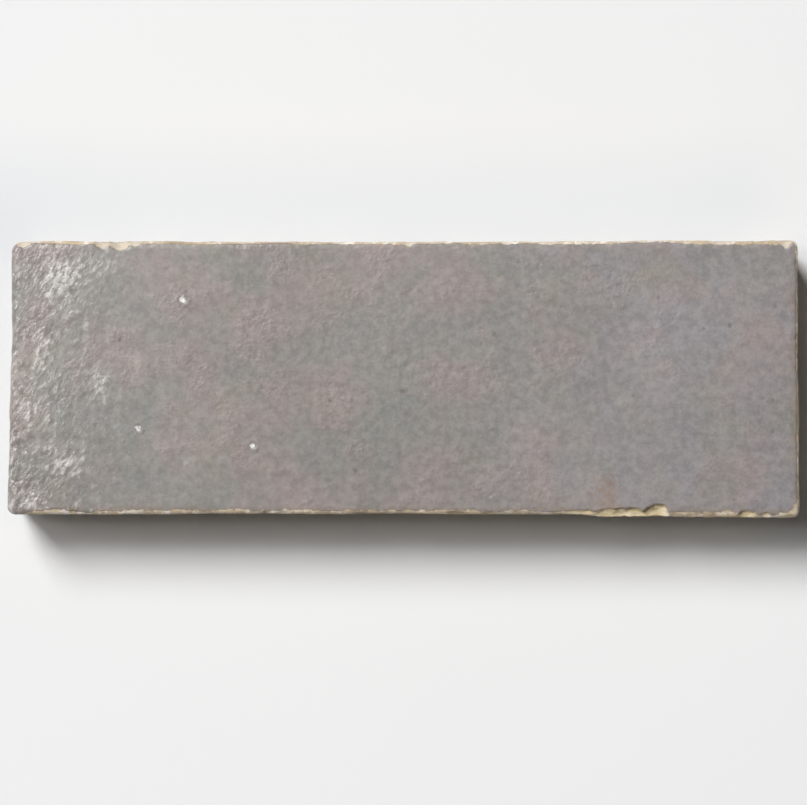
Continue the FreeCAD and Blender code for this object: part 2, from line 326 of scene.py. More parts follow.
@dataclass
class ClayTile:
    """The tile: one fired slab whose face, arris, cut sides and back are one closed surface.

    A crater is its x, y and radius, and its widths are shares of the radius. A glare spot, where
    white glare is painted, is its x, y, its spread along and across the tile, and its strength. A pair
    named for starts, fades or breaks is where a change starts and where it is full. Patches have
    shares for heights, all other layers millimetres.
    """

    outline: Outline = field(default_factory=Outline)
    thickness: float = 18.0
    crown_top: float = 17.86
    crown_along: float = 0.8
    crown_across: float = 0.35
    arris: float = 0.95
    back_roll: float = 0.7
    undercut: float = 1.25
    back_step: float = 0.8
    pull_along: float = 0.5
    pull_across: float = 0.8
    columns: int = 344
    rows: int = 132
    roll_rings: int = 9
    wall_rings: int = 22
    back_rings: int = 4
    scoops: tuple[Scoop, ...] = (
        Scoop(Side.FRONT, 46.3, 2.5, 2.6, 1.2, 7.0),
        Scoop(Side.FRONT, 41.4, 3.7, 1.9, 1.0, -4.0),
        Scoop(Side.FRONT, 37.0, 2.2, 1.6, 0.9, 6.0),
        Scoop(Side.FRONT, 31.8, 3.6, 1.0, 0.55, 2.0),
        Scoop(Side.FRONT, 53.4, 1.5, 0.7, 0.45, 0.0),
        Scoop(Side.FRONT, 62.8, 1.6, 1.5, 0.85, -5.0),
        Scoop(Side.FRONT, 66.3, 1.2, 1.1, 0.6, 0.0),
        Scoop(Side.FRONT, -60.5, 1.5, 0.8, 0.45, 5.0),
        Scoop(Side.FRONT, -12.0, 1.3, 0.7, 0.4, 0.0),
        Scoop(Side.FRONT, 14.0, 1.7, 0.7, 0.4, 0.0),
        Scoop(Side.REAR, -52.2, 1.9, 1.9, 1.1, -5.0),
        Scoop(Side.REAR, -55.2, 1.6, 1.4, 0.8, 8.0),
        Scoop(Side.REAR, -49.4, 1.4, 1.0, 0.6, 0.0),
        Scoop(Side.REAR, 0.9, 1.2, 1.0, 0.7, 9.0),
        Scoop(Side.REAR, 51.8, 1.1, 0.8, 0.5, 0.0),
        Scoop(Side.REAR, 70.2, 1.2, 1.5, 0.8, -12.0),
        Scoop(Side.REAR, -69.6, 2.2, 1.3, 0.7, 6.0),
    )
    craters: tuple[Triple, ...] = (
        (-40.4, 14.5, 1.0),
        (-48.6, -9.1, 0.8),
        (-27.6, -12.3, 0.85),
    )
    # places where white glare is painted on the left end's boiled glaze
    glare_spots: tuple[tuple[float, float, float, float, float], ...] = (
        (-63.0, 18.5, 3.8, 4.4, 1.0),
        (-55.0, 21.0, 3.2, 2.4, 0.5),
        (-66.0, 5.0, 1.6, 3.2, 0.75),
        (-55.4, -0.8, 2.2, 3.2, 0.8),
        (-68.8, -6.0, 2.2, 3.0, 0.7),
        (-61.8, -15.5, 2.8, 1.8, 0.9),
        (-68.4, -22.3, 1.8, 2.0, 0.9),
        (-49.0, 3.0, 1.3, 2.0, 0.45),
        (-39.2, -15.5, 1.3, 1.8, 0.4),
    )
    # a band of painted glare along the left end
    glare_end: Band = Band(0.62, -72.6, 1.2)
    boiled_end: Band = Band(0.5, -72.5, 1.6)
    boil_fades: tuple[float, float] = (-66.0, -46.0)
    boil_strays: float = 6.0
    boil_patches: tuple[Layer, ...] = (Layer(12, 11.0, 2 / 3), Layer(29, 5.5, 1 / 3))
    hollows: tuple[Layer, ...] = (Layer(3, 24.0, 0.085), Layer(4, 9.0, 0.04))
    peel: tuple[Layer, ...] = (Layer(5, 2.7, 0.016), Layer(6, 1.4, 0.01))
    pebbles: tuple[Layer, ...] = (Layer(8, 2.3, 0.085), Layer(9, 1.15, 0.06))
    bead: Band = Band(0.006, 1.6, 1.1)
    crater_lip: float = 0.07
    crater_lip_width: float = 0.34
    crater_depth: float = 0.26
    crater_width: float = 0.55
    pit_count: int = 44
    pit_radii: tuple[float, float] = (0.35, 0.85)
    pit_depth: float = 0.11
    pit_reach: tuple[float, float] = (70.0, 23.5)
    pit_seed: int = 7
    side_lumps: tuple[Layer, ...] = (Layer(21, 7.0, 0.13), Layer(22, 2.4, 0.07))
    side_streaks: Layer = Layer(23, (9.0, 9.0, 0.9), 0.06)
    side_crumbs: Layer = Layer(24, 0.95, 0.045)
    side_bites: Layer = Layer(25, 3.2, 0.5, 0.42)
    side_rest: float = 0.16
    side_highest: float = 0.02
    side_starts: tuple[float, float] = (0.0, 1.2)
    back_scrape: Layer = Layer(31, (26.0, 1.7, 9.0), 0.09)
    back_dimples: Layer = Layer(32, 11.0, 0.12)
    back_pores: Layer = Layer(33, 2.6, 0.55, 0.45)
    back_rest: float = 0.08
    back_deepest: float = 0.6
    arris_rub: float = 0.05
    arris_swells: Layer = Layer(51, 9.0, 0.07)
    least_swell: float = -0.035
    arris_nicks: Layer = Layer(52, 2.3, 0.75, 0.3)
    arris_crumbs: Layer = Layer(53, 1.0, 0.35, 0.25)
    face_rub: Band = Band(0.4, 0.0, 0.3)
    rub_patches: Layer = Layer(54, 4.0, 0.8)
    bare_front: Band = Band(1.0, -25.4, 2.2)
    bare_rear: Band = Band(0.35, 25.4, 2.2)
    right_starts: tuple[float, float] = (40.0, 70.0)
    front_starts: tuple[float, float] = (-71.5, -66.0)
    bare_line: float = 2.3
    right_line: float = 0.35
    least_line: float = 0.04
    thin_line: Band = Band(1.0, 0.0, 0.8)
    thin_end: Band = Band(0.9, 72.6, 1.5)
    wrapped_end: Band = Band(0.7, -72.6, 2.2)
    run_patches: tuple[Layer, ...] = (Layer(65, (4.2, 4.2, 6.0), 1.0), Layer(66, 1.8, 0.55))
    run_starts: tuple[float, float] = (0.3, 1.1)
    run_shortest: float = 1.2
    run_gain: float = 5.0
    chip_roughness: float = 0.05
    glaze_breaks: tuple[float, float] = (0.03, 0.16)
    fresh_breaks: tuple[float, float] = (0.03, 0.2)

    @staticmethod
    def spread(count: int, pull: float) -> Array:
        """Count + 1 places from -1 to 1, closer near the ends: sin(k t) / sin(k), k = pull pi/2."""
        angle = pull * math.pi / 2
        return np.sin(np.linspace(-1, 1, count + 1) * angle) / math.sin(angle)

    def crown(self, x: Array, y: Array) -> Array:
        """Height of the plain crowned face: a parabola along the tile and one across it."""
        share_x, share_y = x / self.outline.half_length, y / self.outline.half_width
        return self.crown_top - self.crown_along * share_x**2 - self.crown_across * share_y**2

    @staticmethod
    def ring_of(grid: Array) -> Array:
        """The rim of a grid of columns and rows, counter-clockwise from its first point."""
        return np.concatenate([grid[:-1, 0], grid[-1, :-1], grid[:0:-1, -1], grid[0, :0:-1]])

    def side_profile(self) -> tuple[Array, Array, Array, Array]:
        """The section of a side, from the face's edge down and round to the back.

        A quarter round of the arris radius, the wall that leans in by the undercut, and a quarter
        round on to the back.

        Returns:
            For each ring: its inset, the share of the crown's height that it keeps, its own
            height over the back, and the angle that its normal has turned down from +Z.
        """
        turn = np.linspace(0, math.pi / 2, self.roll_rings)[1:]
        roll = np.stack([
            self.arris * (1 - np.sin(turn)),
            np.ones_like(turn),
            -self.arris * (1 - np.cos(turn)),
            turn,
        ])
        fall = np.linspace(0, 1, self.wall_rings + 1)[1:]
        wall = np.stack([
            self.undercut * fall,
            1 - fall,
            -self.arris * (1 - fall) + self.back_roll * fall,
            np.full_like(fall, math.pi / 2),
        ])
        turn = np.linspace(0, math.pi / 2, self.back_rings + 1)[1:]
        foot = np.stack([
            self.undercut + self.back_roll * (1 - np.cos(turn)),
            np.zeros_like(turn),
            self.back_roll * (1 - np.sin(turn)),
            math.pi / 2 + turn,
        ])
        return tuple(np.concatenate([roll, wall, foot], axis=1))

    def base_surface(self) -> dict[str, Array]:
        """The plain tile before any relief.

        Returns:
            Arrays over all vertices: "place" and "normal" of shape (n, 3), "turn" (how far the
            normal has turned down from +Z), "depth" (distance below the face's edge) and "inside"
            (distance from the rim on the face, 0 elsewhere).
        """
        along = self.spread(self.columns, self.pull_along)
        u, v = np.meshgrid(along, self.spread(self.rows, self.pull_across), indexing="ij")
        x, y = self.outline.place(u, v, self.arris)
        face = np.stack([x, y, self.crown(x, y)], axis=-1)
        inside = np.minimum(
            (1 - np.abs(u)) * self.outline.half_length, (1 - np.abs(v)) * self.outline.half_width
        )
        rim_u, rim_v = self.ring_of(u), self.ring_of(v)
        rim_top = self.ring_of(face)[:, 2]
        wide_x, wide_y = self.outline.place(rim_u, rim_v, 0.0)
        run_x, run_y = np.roll(wide_x, -1) - np.roll(wide_x, 1), np.roll(wide_y, -1) - np.roll(wide_y, 1)
        size = np.hypot(run_x, run_y)
        outward = np.stack([run_y / size, -run_x / size, np.zeros_like(size)], axis=-1)
        inset, keep, height, turn = (part[:, None] for part in self.side_profile())
        ring_x, ring_y = self.outline.place(rim_u, rim_v, inset)
        rings = np.stack([ring_x, ring_y, keep * rim_top + height], axis=-1)
        up = np.array([0.0, 0.0, 1.0])
        lean = turn[..., None]
        ring_normal = outward * np.sin(lean) + up * np.cos(lean)
        back_u, back_v = u[::2, ::2], v[::2, ::2]
        back_inset = self.undercut + self.back_roll + self.back_step
        back_x, back_y = self.outline.place(back_u, back_v, back_inset)
        back = np.stack([back_x, back_y, np.zeros_like(back_x)], axis=-1)
        depth = np.broadcast_to(rim_top - rings[..., 2], rings.shape[:-1])
        counts = (inside.size, depth.size, back_x.size)
        return {
            "place": np.concatenate([face.reshape(-1, 3), rings.reshape(-1, 3), back.reshape(-1, 3)]),
            "normal": np.concatenate([
                np.broadcast_to(up, (counts[0], 3)),
                ring_normal.reshape(-1, 3),
                np.broadcast_to(-up, (counts[2], 3)),
            ]),
            "turn": np.concatenate([
                np.zeros(counts[0]),
                np.broadcast_to(turn, depth.shape).ravel(),
                np.full(counts[2], math.pi),
            ]),
            "depth": np.concatenate([
                np.zeros(counts[0]),
                depth.ravel(),
                np.full(counts[2], self.thickness),
            ]),
            "inside": np.concatenate([inside.ravel(), np.zeros(counts[1] + counts[2])]),
        }

    def faces(self) -> list[tuple[int, ...]]:
        """The closed surface's faces: the glazed grid, the rings, a strip that halves them, the back.

        Returns:
            Vertex numbers of each face, counter-clockwise from outside.
        """
        columns, rows = self.columns, self.rows
        grid = np.arange((columns + 1) * (rows + 1)).reshape(columns + 1, rows + 1)
        quads = [self.quads_of(grid)]
        ring_count = self.roll_rings - 1 + self.wall_rings + self.back_rings
        rim = self.ring_of(grid)
        first = grid.size
        rings = np.arange(ring_count * len(rim)).reshape(ring_count, -1) + first
        rings = np.concatenate([rim[None], rings])
        after = np.roll(rings, -1, axis=1)
        quads.append(np.stack([rings[1:], after[1:], after[:-1], rings[:-1]], axis=-1).reshape(-1, 4))
        first += ring_count * len(rim)
        back = first + np.arange((columns // 2 + 1) * (rows // 2 + 1)).reshape(columns // 2 + 1, -1)
        quads.append(self.quads_of(back)[:, (0, 3, 2, 1)])
        inner, outer = self.ring_of(back), rings[-1]
        inner_next, outer_next = np.roll(inner, -1), np.roll(outer, -2)[::2]
        middle, start = outer[1::2], outer[::2]
        strip = np.concatenate([
            np.stack([inner, inner_next, middle], axis=-1),
            np.stack([inner, middle, start], axis=-1),
            np.stack([inner_next, outer_next, middle], axis=-1),
        ])
        return [tuple(q) for q in np.concatenate(quads).tolist()] + [tuple(t) for t in strip.tolist()]

    @staticmethod
    def quads_of(grid: Array) -> Array:
        """The four corners of every cell of a grid of vertex numbers, counter-clockwise."""
        corners = [grid[:-1, :-1], grid[1:, :-1], grid[1:, 1:], grid[:-1, 1:]]
        return np.stack(corners, axis=-1).reshape(-1, 4)

    def pits(self, x: Array, y: Array) -> Array:
        """Small round pits strewn over the face: each lowers it by depth (1 - (d/r)^2)^2 inside r.

        Args:
            x: places along the tile.
            y: places across the tile.

        Returns:
            How far the face sinks at each place.
        """
        random = np.random.default_rng(self.pit_seed)
        reach = np.array(self.pit_reach)
        places = random.uniform(-reach, reach, (self.pit_count, 2))
        sizes = random.uniform(*self.pit_radii, self.pit_count)
        deep = self.pit_depth * random.uniform(0.35, 1.0, self.pit_count)
        away = (x[:, None] - places[:, 0]) ** 2 + (y[:, None] - places[:, 1]) ** 2
        return (deep * np.clip(1 - away / sizes**2, 0, 1) ** 2).sum(axis=1)

    def face_relief(self, points: Array, inside: Array) -> Array:
        """Height of the glaze over the plain crown.

        Slow hollows of the hand-pressed clay, the glaze's orange peel, a pebbled skin at the left
        end where the glaze boiled, a low bead where it drew back from the arris, and its pits.

        Args:
            points: positions on the plain tile.
            inside: distance from the rim.

        Returns:
            Heights in millimetres.
        """
        x, y = points[:, 0], points[:, 1]
        slow, skin = added(self.hollows, points), added(self.peel, points)
        pebble = self.boiled(points) * added(self.pebbles, points)
        bead = self.bead.at(inside) * (1.0 + Grain(10).at(points, 8.0))
        relief = slow + skin + pebble + bead - self.pits(x, y)
        for crater_x, crater_y, size in self.craters:
            away = np.hypot(x - crater_x, y - crater_y)
            relief += self.crater_lip * bell(away, size, self.crater_lip_width * size)
            relief -= self.crater_depth * bell(away, 0.0, self.crater_width * size)
        return relief

    def boiled(self, points: Array) -> Array:
        """How far the glaze boiled into pebbles: 1 at the left end, fading in patches to the right.

        Args:
            points: positions on the plain tile.

        Returns:
            Numbers from 0 to 1.
        """
        x = points[:, 0]
        patches = added(self.boil_patches, points * np.array([1.0, 1.0, 0.0]))
        fade = 1.0 - smooth(*self.boil_fades, x + self.boil_strays * patches)
        rim = self.boiled_end.at(x)
        return np.clip(fade * (0.55 + 0.45 * patches) + rim + 0.55 * self.painted_glare(points), 0.0, 1.0)

    def painted_glare(self, points: Array) -> Array:
        """Where a white glare is painted on the boiled glaze: the sum of a few bells.

        Args:
            points: positions on the plain tile.

        Returns:
            Numbers from 0 to 1.
        """
        x, y = points[:, 0], points[:, 1]
        white = self.glare_end.at(x)
        for at_x, at_y, wide, high, much in self.glare_spots:
            white += much * bell(x, at_x, wide) * bell(y, at_y, high)
        return np.clip(white, 0.0, 1.0)

    def side_relief(self, points: Array, depth: Array) -> Array:
        """Roughness of the cut clay: lumps, streaks that the cutter dragged, crumbs and bites.

        Args:
            points: positions on the plain tile.
            depth: distance below the face's edge.

        Returns:
            Heights in millimetres, never over the plain wall.
        """
        rough = added((*self.side_lumps, self.side_streaks, self.side_crumbs), points)
        rough -= self.side_bites.at(points) + self.side_rest
        return np.minimum(rough, self.side_highest) * smooth(*self.side_starts, depth)

    def back_relief(self, points: Array) -> Array:
        """Relief of the back, into the tile: shallow scrape marks along it, dimples and pores.

        Args:
            points: positions on the plain tile.

        Returns:
            Depths in millimetres, 0 or more.
        """
        depth = self.back_rest + added((self.back_scrape, self.back_dimples, self.back_pores), points)
        return np.clip(depth, 0.0, self.back_deepest)

    def arris_wear(self, points: Array) -> Array:
        """How deep the arris is worn: a steady rub plus nicks of two sizes, in millimetres."""
        rub = self.arris_rub + np.maximum(self.arris_swells.at(points), self.least_swell)
        return rub + added((self.arris_nicks, self.arris_crumbs), points)

    def barest(self, points: Array) -> Array:
        """How far the glaze ran off the arris: 1 at the front, a third at the rear, 0 at the ends."""
        to_front = self.bare_front.at(points[:, 1]) * smooth(*self.front_starts, points[:, 0])
        return np.maximum(to_front, self.bare_rear.at(points[:, 1]))

    def exposure(self, points: Array) -> Array:
        """Width of the bare line that the glaze left along the arris, in millimetres.

        The front arris is barest, then the rear one; the ends keep most of their glaze.

        Args:
            points: positions on the plain tile.

        Returns:
            Widths in millimetres.
        """
        to_right = smooth(*self.right_starts, points[:, 0])
        width = self.least_line + self.right_line * to_right + self.bare_line * self.barest(points)
        ragged = 1.0 + 0.8 * Grain(61).at(points, 6.0) + 0.7 * Grain(62).at(points, 1.9)
        return np.maximum(width * ragged, self.least_line / 2)

    def build(self) -> bpy.types.Object:
        """Makes the tile's mesh, with its glaze and wear as point attributes.

        Attributes: "glaze" is 1 under full glaze and 0 on bare clay, "boiled" marks the pebbled
        skin, the third where white glare is painted on it, "edge" the glaze that ran thin beside the
        arris, "fresh" broken clay and "rubbed" the worn arris.

        Returns:
            The tile's object.
        """
        base = self.base_surface()
        points, normal, turn = base["place"], base["normal"], base["turn"]
        depth, inside = base["depth"], base["inside"]
        turned = smooth(0.25, math.pi / 2, turn)
        on_back = smooth(math.pi / 2, math.pi - 0.1, turn)
        on_face, on_side = 1.0 - turned, turned * (1 - on_back)
        ridge = np.where(turn < math.pi / 2, np.sin(2 * turn), 0.0)
        ridge = np.maximum(ridge, self.face_rub.at(inside) * (turn == 0))
        lift = on_face * self.face_relief(points, inside) + on_side * self.side_relief(points, depth)
        lift -= on_back * self.back_relief(points)
        lift -= ridge * self.arris_wear(points)
        moved = points + normal * lift[:, None]
        top = self.crown(points[:, 0], points[:, 1])
        broken = np.zeros(len(points))
        for number, scoop in enumerate(self.scoops):
            broken = np.maximum(broken, scoop.carve(moved, self.outline, top, Grain(71 + number)))
        rough = broken > 0.02
        moved[rough, 2] -= self.chip_roughness * (Grain(90).at(moved[rough], 0.7) + 0.4)
        moved[:, 2] = np.maximum(moved[:, 2], 0.0)
        mesh = bpy.data.meshes.new("clay_tile")
        mesh.from_pydata((moved * MM).tolist(), [], self.faces())
        barest = np.maximum(self.barest(points), self.thin_end.at(points[:, 0]))
        patchy = np.clip(0.65 + self.rub_patches.at(points), 0.0, 1.0)
        whole = 1 - smooth(*self.glaze_breaks, broken)
        marks = {
            "glaze": self.glaze(points, turn, depth, inside) * whole,
            "boiled": self.boiled(points) * on_face,
            "painted_glare": self.painted_glare(points) * on_face,
            "edge": self.thin_line.at(inside) * barest,
            "fresh": smooth(*self.fresh_breaks, broken),
            "rubbed": smooth(0.1, 0.6, ridge) * patchy,
        }
        for name, values in marks.items():
            layer = mesh.attributes.new(name, "FLOAT", "POINT")
            layer.data.foreach_set("value", values.astype(np.float32))
        mesh.shade_smooth()
        mesh.validate()
        piece = bpy.data.objects.new("clay_tile", mesh)
        bpy.context.scene.collection.objects.link(piece)
        return piece

    def glaze(self, points: Array, turn: Array, depth: Array, inside: Array) -> Array:
        """How thick the glaze is, from 0 (bare) to 1.

        With c the way across the arris from its ridge, the glaze is a smooth step of c over the
        bare line's width on the face's side; at the left end it keeps on past the ridge. Beyond,
        it comes back only as runs.

        Args:
            points: positions on the plain tile.
            turn: how far the normal has turned down from +Z.
            depth: distance below the face's edge.
            inside: distance from the rim on the face.

        Returns:
            Numbers from 0 to 1.
        """
        kept = self.wrapped_end.at(points[:, 0]) * (1.0 + 0.5 * Grain(63).at(points, 3.0))
        across = inside + self.arris * (math.pi / 4 + kept - np.minimum(turn, math.pi / 2))
        width = self.exposure(points)
        face_side = smooth(0.0, 0.8, across / width)
        runs = added(self.run_patches, points)
        length = self.run_shortest + self.run_gain * np.maximum(runs, 0.0)
        drop = smooth(*self.run_starts, depth) * (1 - smooth(0.5, 1.4, depth / length))
        wall_side = smooth(0.0, 0.42, runs) * drop
        return np.where(turn < math.pi / 2 - 0.05, face_side, wall_side * (turn < math.pi / 2 + 0.1))


class NodeBench:
    """Places and joins the nodes of one material."""

    def __init__(self, name: str) -> None:
        """Starts an empty node material.

        Args:
            name: the material's name.
        """
        self.material = bpy.data.materials.new(name)
        self.material.use_nodes = True
        self.tree = self.material.node_tree
        self.tree.nodes.clear()
        self.where = self.add("TexCoord").outputs["Object"]

    def add(
        self, kind: str, inputs: dict[str | int, object] | None = None, **settings: object
    ) -> bpy.types.Node:
        """Adds a shader node.

        Args:
            kind: the node's type, without its leading ShaderNode.
            inputs: sockets by name or number, each with a value or the socket that feeds it.
            settings: properties of the node.

        Returns:
            The node.
        """
        node = self.tree.nodes.new(f"ShaderNode{kind}")
        for key, value in settings.items():
            setattr(node, key, value)
        for key, value in (inputs or {}).items():
            if isinstance(value, Socket):
                self.tree.links.new(value, node.inputs[key])
            elif isinstance(value, tuple) and len(value) == 3 and node.inputs[key].type == "RGBA":
                node.inputs[key].default_value = (*value, 1.0)
            else:
                node.inputs[key].default_value = value
        return node

    def noise(
        self,
        size: float,
        detail: float = 2.0,
        rough: float = 0.5,
        stretch: Triple | None = None,
        turn: float = 0.0,
    ) -> Socket:
        """Noise of about 0 to 1 whose patches are about one size across.

        Args:
            size: patch size in millimetres.
            detail: number of finer layers.
            rough: strength of each finer layer.
            stretch: how many sizes long the patches are along each axis, if not one.
            turn: degrees that the stretched patches are turned from +X, counter-clockwise.

        Returns:
            The noise's value socket.
        """
        where = self.where
        if turn:
            turned = {"Vector": where, "Rotation": (0.0, 0.0, -math.radians(turn))}
            where = self.add("Mapping", turned).outputs[0]
        if stretch:
            stretched = {"Vector": where, "Scale": tuple(1 / s for s in stretch)}
            where = self.add("Mapping", stretched).outputs[0]
        scale = 1.0 / (size * MM)
        texture = {"Vector": where, "Scale": scale, "Detail": detail, "Roughness": rough}
        return self.add("TexNoise", texture).outputs["Fac"]

    def math(self, operation: str, first: object, second: object = 0.0, clamp: bool = False) -> Socket:
        """One sum: operation of first and second, kept within 0 to 1 if clamp is set."""
        terms = {0: first, 1: second}
        return self.add("Math", terms, operation=operation, use_clamp=clamp).outputs[0]

    def times(self, first: object, second: object) -> Socket:
        """The product of two numbers."""
        return self.math("MULTIPLY", first, second)

    def plus(self, first: object, second: object) -> Socket:
        """The sum of two numbers."""
        return self.math("ADD", first, second)

    def step(
        self, value: object, low: float, high: float, out_low: float = 0.0, out_high: float = 1.0
    ) -> Socket:
        """Smooth step of a value from low to high, mapped to out_low and out_high."""
        ends = {"Value": value, "From Min": low, "From Max": high, "To Min": out_low, "To Max": out_high}
        return self.add("MapRange", ends, interpolation_type="SMOOTHSTEP").outputs["Result"]

    def mix(self, share: object, first: object, second: object, blend: str = "MIX") -> Socket:
        """Mixes two colours: the first where share is 0, the second, blended on, where it is 1."""
        inputs = {0: share, 6: first, 7: second}
        return self.add("Mix", inputs, data_type="RGBA", blend_type=blend).outputs[2]

    def blend(self, share: object, first: object, second: object) -> Socket:
        """Mixes two numbers: first where share is 0, second where it is 1."""
        return self.add("Mix", {0: share, 2: first, 3: second}, data_type="FLOAT").outputs[0]

    def strongest(self, masks: list[Socket]) -> Socket:
        """The greatest of some masks."""
        return reduce(lambda most, mask: self.math("MAXIMUM", most, mask), masks)

    def read(self, name: str) -> Socket:
        """The value of a point attribute."""
        return self.add("Attribute", attribute_name=name).outputs["Fac"]

    def axes(self) -> bpy.types.bpy_prop_collection:
        """The place's X, Y and Z sockets, by name."""
        return self.add("SeparateXYZ", {0: self.where}).outputs

    def finish(self, surface: bpy.types.Node) -> bpy.types.Material:
        """Joins the surface shader to the output and gives back the material."""
        self.add("OutputMaterial", {"Surface": surface.outputs[0]})
        return self.material


@dataclass(frozen=True)
class GlazeFinish:
    """Satin grey glaze: soft clouds of pink, green, olive and lavender, dark specks, and colours for
    painted glints, glare and shade.

    A ramp is an axis, where it starts and stops, and the shade before and after. The ramps are painted
    light and shade across the face, lighter at the left end and darker towards the front. Lavender
    starts at one x and is full at another.
    """

    grey: Colour = srgb(145, 138, 135)
    pink: Colour = srgb(152, 139, 136)
    green: Colour = srgb(139, 139, 134)
    olive: Colour = srgb(148, 141, 129)
    lavender: Colour = srgb(142, 138, 140)
    # also the colour of painted shade between the pebbles and in the crater hollows
    dark: Colour = srgb(92, 85, 79)
    # colour of the painted glints on the pebble tops
    painted_glints: Colour = srgb(216, 212, 208)
    # colour of the painted glare at the left end
    glare_veil: Colour = srgb(192, 185, 179)
    # colour of the painted highlights on the craters
    glint: Colour = srgb(240, 238, 235)
    iron: Colour = srgb(158, 118, 82)
    thin: Colour = srgb(150, 129, 108)
    roughness: float = 0.36
    boiled_roughness: float = 0.25
    ior: float = 1.5
    thickness: float = 0.05
    peel_height: float = 0.029
    cluster_height: float = 0.08
    pit_depth: float = 0.02
    boil_height: float = 0.2
    lavender_starts: tuple[float, float] = (-5.0, 50.0)
    speck_net: float = 4.3
    speck_shift: Triple = (13.0, 7.0, 0.0)
    speck_share: float = 0.42
    # painted light and shade across the face
    painted_light_ramps: tuple[tuple[str, float, float, float, float], ...] = (
        ("X", -75.0, 10.0, 1.03, 0.99),
        ("Y", -20.0, -6.0, 0.975, 1.0),
        ("X", 10.0, 30.0, 1.0, 1.05),
        ("X", 45.0, 70.0, 1.0, 0.955),
    )

    def colour(self, bench: NodeBench) -> Socket:
        """The glaze's colour: clouds, more lavender to the right, shaded by noise and by ramps of
        painted light and shade.

        Args:
            bench: the material being made.

        Returns:
            The colour socket.
        """
        clouds = bench.mix(bench.step(bench.noise(14.0, 5.0, 0.62), 0.3, 0.68), self.green, self.pink)
        yellower = bench.step(bench.noise(8.0, 4.0, 0.6), 0.54, 0.72, 0.0, 0.6)
        clouds = bench.mix(yellower, clouds, self.olive)
        axes = bench.axes()
        start, full = self.lavender_starts
        to_right = bench.step(axes["X"], start * MM, full * MM)
        violet = bench.times(bench.step(bench.noise(11.0, 4.0, 0.6), 0.34, 0.66), to_right)
        clouds = bench.mix(violet, clouds, self.lavender)
        clouds = bench.mix(bench.step(bench.noise(6.0, 3.0), 0.35, 0.7, 0.0, 0.5), clouds, self.grey)
        shade = bench.step(bench.noise(1.5, 5.0, 0.75), 0.3, 0.7, 0.83, 1.17)
        shade = bench.times(shade, bench.step(bench.noise(26.0, 2.0), 0.3, 0.7, 0.95, 1.05))
        # painted light and shade: the ramps across the face
        for axis, start, stop, before, after in self.painted_light_ramps:
            shade = bench.times(shade, bench.step(axes[axis], start * MM, stop * MM, before, after))
        thinned = bench.step(bench.noise(2.6, 3.0, 0.6), 0.35, 0.65, 0.1, 0.75)
        clouds = bench.mix(bench.times(bench.read("edge"), thinned), clouds, self.thin)
        grey_shade = bench.add("CombineColor", {0: shade, 1: shade, 2: shade}).outputs[0]
        clouds = bench.mix(1.0, clouds, grey_shade, "MULTIPLY")
        specks = bench.times(self.specks(bench), self.speck_share)
        return bench.mix(specks, clouds, self.dark)

    def specks(self, bench: NodeBench) -> Socket:
        """Pin-head specks: near the middle of some cells of a jittered net.

        Args:
            bench: the material being made.

        Returns:
            A mask socket, 1 on a speck.
        """
        moved = {0: bench.where, 1: tuple(way * MM for way in self.speck_shift)}
        moved = bench.add("VectorMath", moved, operation="ADD").outputs[0]
        net = {"Vector": moved, "Scale": 1.0 / (self.speck_net * MM)}
        cells = bench.add("TexVoronoi", net)
        luck = bench.add("SeparateColor", {0: cells.outputs["Color"]}).outputs[0]
        size = bench.step(luck, 0.3, 1.0, 0.0, 0.13)
        return bench.step(bench.math("SUBTRACT", cells.outputs["Distance"], size), 0.02, -0.08)


@dataclass(frozen=True)
class ClayFinish:
    """Fired buff clay, matt: tan with cream patches, drag streaks, sand grains, pale where broken."""

    cream: Colour = srgb(199, 183, 155)
    tan: Colour = srgb(168, 148, 121)
    dust: Colour = srgb(240, 233, 214)
    broken: Colour = srgb(208, 189, 148)
    crumb: Colour = srgb(224, 210, 181)
    chalk: Colour = srgb(207, 198, 186)
    rubbed: Colour = srgb(203, 183, 156)
    bright: Colour = srgb(246, 240, 230)
    sand: Colour = srgb(120, 98, 74)
    roughness: float = 0.86
    grain_height: float = 0.05
    chalk_starts: tuple[float, float] = (0.0, 20.0)

    def colour(self, bench: NodeBench) -> Socket:
        """The clay's colour.

        Args:
            bench: the material being made.

        Returns:
            The colour socket.
        """
        body = bench.mix(bench.step(bench.noise(11.0, 6.0, 0.68), 0.32, 0.68), self.tan, self.cream)
        streaks = bench.noise(0.8, 3.0, 0.6, stretch=(12.0, 12.0, 1.0))
        body = bench.mix(bench.step(streaks, 0.45, 0.7, 0.0, 0.35), body, self.cream)
        body = bench.mix(bench.step(bench.noise(1.3, 4.0, 0.6), 0.56, 0.78, 0.0, 0.4), body, self.dust)
        body = bench.mix(bench.step(bench.noise(0.55, 1.0), 0.62, 0.74, 0.0, 0.7), body, self.sand)
        body = bench.mix(bench.times(bench.read("rubbed"), 0.85), body, self.worn(bench))
        return bench.mix(bench.times(bench.read("fresh"), 0.85), body, self.pale(bench))

    def pale(self, bench: NodeBench) -> Socket:
        """The colour of freshly broken clay: straw mottled with cream, chalky at the rear.

        Args:
            bench: the material being made.

        Returns:
            The colour socket.
        """
        mottled = bench.mix(bench.step(bench.noise(1.6, 4.0, 0.6), 0.4, 0.7), self.broken, self.crumb)
        start, full = (place * MM for place in self.chalk_starts)
        return bench.mix(bench.step(bench.axes()["Y"], start, full, 0.0, 0.8), mottled, self.chalk)

    def worn(self, bench: NodeBench) -> Socket:
        """The colour of the rubbed arris: dashes of tan and near-white."""
        return bench.mix(bench.step(bench.noise(2.0, 4.0, 0.65), 0.47, 0.6), self.rubbed, self.bright)


